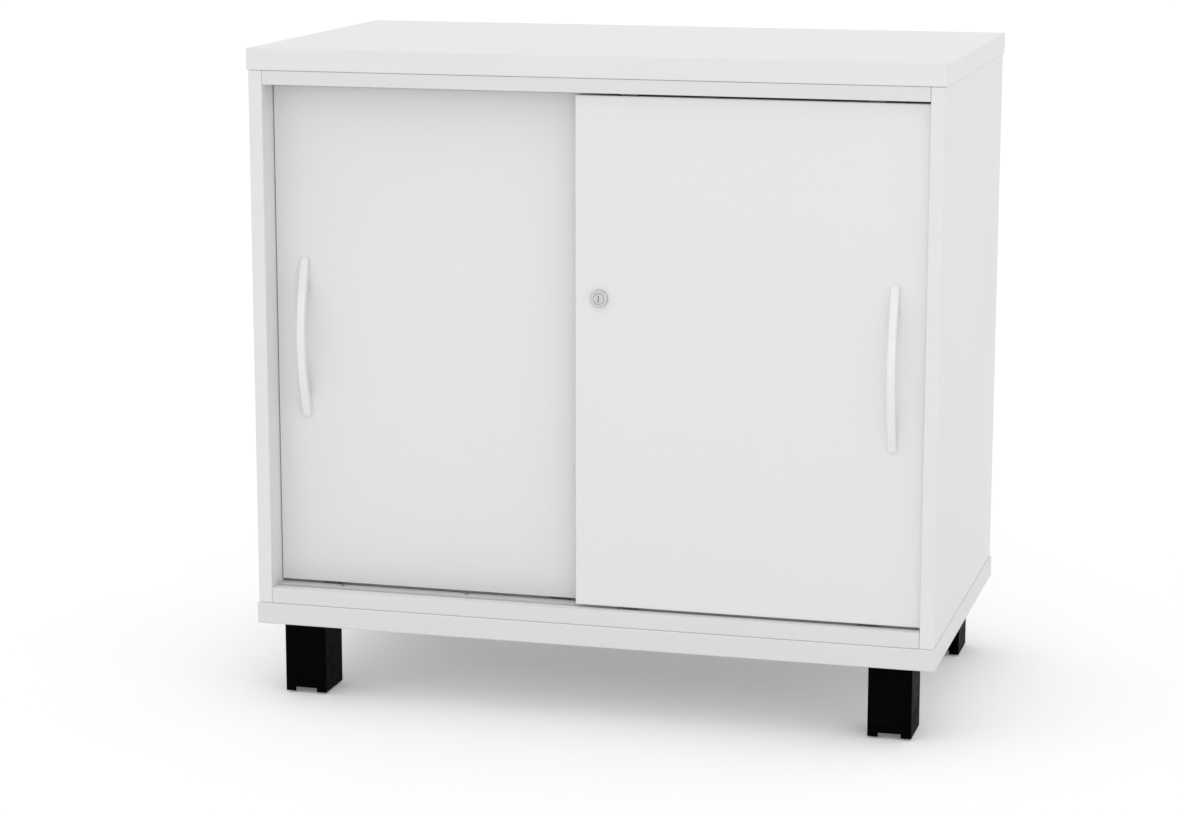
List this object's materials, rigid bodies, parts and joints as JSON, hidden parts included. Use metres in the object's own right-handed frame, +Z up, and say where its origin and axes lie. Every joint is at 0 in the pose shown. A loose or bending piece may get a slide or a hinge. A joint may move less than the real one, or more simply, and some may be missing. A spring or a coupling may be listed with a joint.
{
  "type": "sliding door cabinet",
  "caption": "Low white office cabinet with overlapping sliding doors, slim bow handles, a cam lock, an adjustable shelf, thick top and base slabs and black swivel castors.",
  "frame": {"origin": "on the floor under the middle of the whole cabinet's bounding box", "axes": "+X to the right as seen from the front, along the width and the doors' travel; +Y towards the back; +Z up"},
  "size_m": [0.8, 0.4602, 0.76],
  "materials": {
    "case_board": "white melamine-faced board with a matching edge band, fine satin texture",
    "door_board": "white melamine-faced board with a matching edge band, fine satin texture",
    "track_plastic": "extruded light grey plastic, satin",
    "roller_plastic": "moulded off-white plastic, slightly glossy",
    "handle_metal": "satin silver metal",
    "lock_metal": "dull nickel plate with fine turning marks",
    "steel": "zinc-plated steel",
    "castor_plastic": "black moulded plastic, fine spark-eroded texture",
    "wheel_plastic": "black moulded plastic with scuffed treads"
  },
  "bodies": {
    "cabinet": {"top_panel": "case_board", "base_panel": "case_board", "side_panel_left": "case_board", "side_panel_right": "case_board", "inner_top_panel": "case_board", "inner_bottom_panel": "case_board", "back_panel": "case_board", "shelf": "case_board", "track_top": "track_plastic", "track_bottom": "track_plastic", "shelf_pin_front_left": "steel", "shelf_pin_rear_left": "steel", "shelf_pin_front_right": "steel", "shelf_pin_rear_right": "steel", "castor_front_left_stem": "steel", "castor_rear_left_stem": "steel", "castor_front_right_stem": "steel", "castor_rear_right_stem": "steel"},
    "left_door": {"door_left": "door_board", "handle_left": "handle_metal", "handle_left_screw_lower": "steel", "handle_left_screw_upper": "steel", "door_left_roller_housing_left": "track_plastic", "door_left_roller_housing_right": "track_plastic", "door_left_guide_left": "track_plastic", "door_left_guide_right": "track_plastic", "lock_stud": "steel"},
    "right_door": {"door_right": "door_board", "handle_right": "handle_metal", "handle_right_screw_lower": "steel", "handle_right_screw_upper": "steel", "door_right_roller_housing_left": "track_plastic", "door_right_roller_housing_right": "track_plastic", "door_right_guide_left": "track_plastic", "door_right_guide_right": "track_plastic", "lock_barrel": "lock_metal", "lock_nut": "steel"},
    "lock": {"lock_plug": "lock_metal", "lock_cam": "steel"},
    "left_door_roller_left": {"door_left_roller_left": "roller_plastic"},
    "left_door_roller_right": {"door_left_roller_right": "roller_plastic"},
    "right_door_roller_left": {"door_right_roller_left": "roller_plastic"},
    "right_door_roller_right": {"door_right_roller_right": "roller_plastic"},
    "castor_front_left": {"castor_front_left_hood": "castor_plastic", "castor_front_left_axle": "steel"},
    "castor_rear_left": {"castor_rear_left_hood": "castor_plastic", "castor_rear_left_axle": "steel"},
    "castor_front_right": {"castor_front_right_hood": "castor_plastic", "castor_front_right_axle": "steel"},
    "castor_rear_right": {"castor_rear_right_hood": "castor_plastic", "castor_rear_right_axle": "steel"},
    "castor_front_left_wheel_a": {"castor_front_left_wheel_left": "wheel_plastic"},
    "castor_front_left_wheel_b": {"castor_front_left_wheel_right": "wheel_plastic"},
    "castor_rear_left_wheel_a": {"castor_rear_left_wheel_left": "wheel_plastic"},
    "castor_rear_left_wheel_b": {"castor_rear_left_wheel_right": "wheel_plastic"},
    "castor_front_right_wheel_a": {"castor_front_right_wheel_left": "wheel_plastic"},
    "castor_front_right_wheel_b": {"castor_front_right_wheel_right": "wheel_plastic"},
    "castor_rear_right_wheel_a": {"castor_rear_right_wheel_left": "wheel_plastic"},
    "castor_rear_right_wheel_b": {"castor_rear_right_wheel_right": "wheel_plastic"}
  },
  "joints": [
    {"name": "left_door_slide", "type": "slide", "parent": "cabinet", "child": "left_door", "axis": [1, 0, 0], "range_m": [0, 0.32]},
    {"name": "right_door_slide", "type": "slide", "parent": "cabinet", "child": "right_door", "axis": [1, 0, 0], "range_m": [-0.32, 0]},
    {"name": "lock_turn", "type": "hinge", "parent": "right_door", "child": "lock", "pos_m": [0.012, -0.20785, 0.4885], "axis": [0, -1, 0], "range_deg": [0, 90]},
    {"name": "left_door_roller_left_spin", "type": "hinge", "parent": "left_door", "child": "left_door_roller_left", "pos_m": [-0.321, -0.17585, 0.1367], "axis": [0, 1, 0], "continuous": true},
    {"name": "left_door_roller_right_spin", "type": "hinge", "parent": "left_door", "child": "left_door_roller_right", "pos_m": [-0.044, -0.17585, 0.1367], "axis": [0, 1, 0], "continuous": true},
    {"name": "right_door_roller_left_spin", "type": "hinge", "parent": "right_door", "child": "right_door_roller_left", "pos_m": [0.044, -0.19985, 0.1367], "axis": [0, 1, 0], "continuous": true},
    {"name": "right_door_roller_right_spin", "type": "hinge", "parent": "right_door", "child": "right_door_roller_right", "pos_m": [0.321, -0.19985, 0.1367], "axis": [0, 1, 0], "continuous": true},
    {"name": "castor_front_left_swivel", "type": "hinge", "parent": "cabinet", "child": "castor_front_left", "pos_m": [-0.3475, -0.16385, 0.0848], "axis": [0, 0, 1], "continuous": true},
    {"name": "castor_rear_left_swivel", "type": "hinge", "parent": "cabinet", "child": "castor_rear_left", "pos_m": [-0.3475, 0.17415, 0.0848], "axis": [0, 0, 1], "continuous": true},
    {"name": "castor_front_right_swivel", "type": "hinge", "parent": "cabinet", "child": "castor_front_right", "pos_m": [0.3475, -0.16385, 0.0848], "axis": [0, 0, 1], "continuous": true},
    {"name": "castor_rear_right_swivel", "type": "hinge", "parent": "cabinet", "child": "castor_rear_right", "pos_m": [0.3475, 0.17415, 0.0848], "axis": [0, 0, 1], "continuous": true},
    {"name": "castor_front_left_wheel_a_spin", "type": "hinge", "parent": "castor_front_left", "child": "castor_front_left_wheel_a", "pos_m": [-0.3603, -0.17385, 0.025], "axis": [1, 0, 0], "continuous": true},
    {"name": "castor_front_left_wheel_b_spin", "type": "hinge", "parent": "castor_front_left", "child": "castor_front_left_wheel_b", "pos_m": [-0.3347, -0.17385, 0.025], "axis": [1, 0, 0], "continuous": true},
    {"name": "castor_rear_left_wheel_a_spin", "type": "hinge", "parent": "castor_rear_left", "child": "castor_rear_left_wheel_a", "pos_m": [-0.3603, 0.18415, 0.025], "axis": [1, 0, 0], "continuous": true},
    {"name": "castor_rear_left_wheel_b_spin", "type": "hinge", "parent": "castor_rear_left", "child": "castor_rear_left_wheel_b", "pos_m": [-0.3347, 0.18415, 0.025], "axis": [1, 0, 0], "continuous": true},
    {"name": "castor_front_right_wheel_a_spin", "type": "hinge", "parent": "castor_front_right", "child": "castor_front_right_wheel_a", "pos_m": [0.3347, -0.17385, 0.025], "axis": [1, 0, 0], "continuous": true},
    {"name": "castor_front_right_wheel_b_spin", "type": "hinge", "parent": "castor_front_right", "child": "castor_front_right_wheel_b", "pos_m": [0.3603, -0.17385, 0.025], "axis": [1, 0, 0], "continuous": true},
    {"name": "castor_rear_right_wheel_a_spin", "type": "hinge", "parent": "castor_rear_right", "child": "castor_rear_right_wheel_a", "pos_m": [0.3347, 0.18415, 0.025], "axis": [1, 0, 0], "continuous": true},
    {"name": "castor_rear_right_wheel_b_spin", "type": "hinge", "parent": "castor_rear_right", "child": "castor_rear_right_wheel_b", "pos_m": [0.3603, 0.18415, 0.025], "axis": [1, 0, 0], "continuous": true}
  ],
  "couplings": [
    {"joint": "left_door_roller_left_spin", "follows": "left_door_slide", "rad_per_m": 83.333},
    {"joint": "left_door_roller_right_spin", "follows": "left_door_slide", "rad_per_m": 83.333},
    {"joint": "right_door_roller_left_spin", "follows": "right_door_slide", "rad_per_m": 83.333},
    {"joint": "right_door_roller_right_spin", "follows": "right_door_slide", "rad_per_m": 83.333}
  ]
}
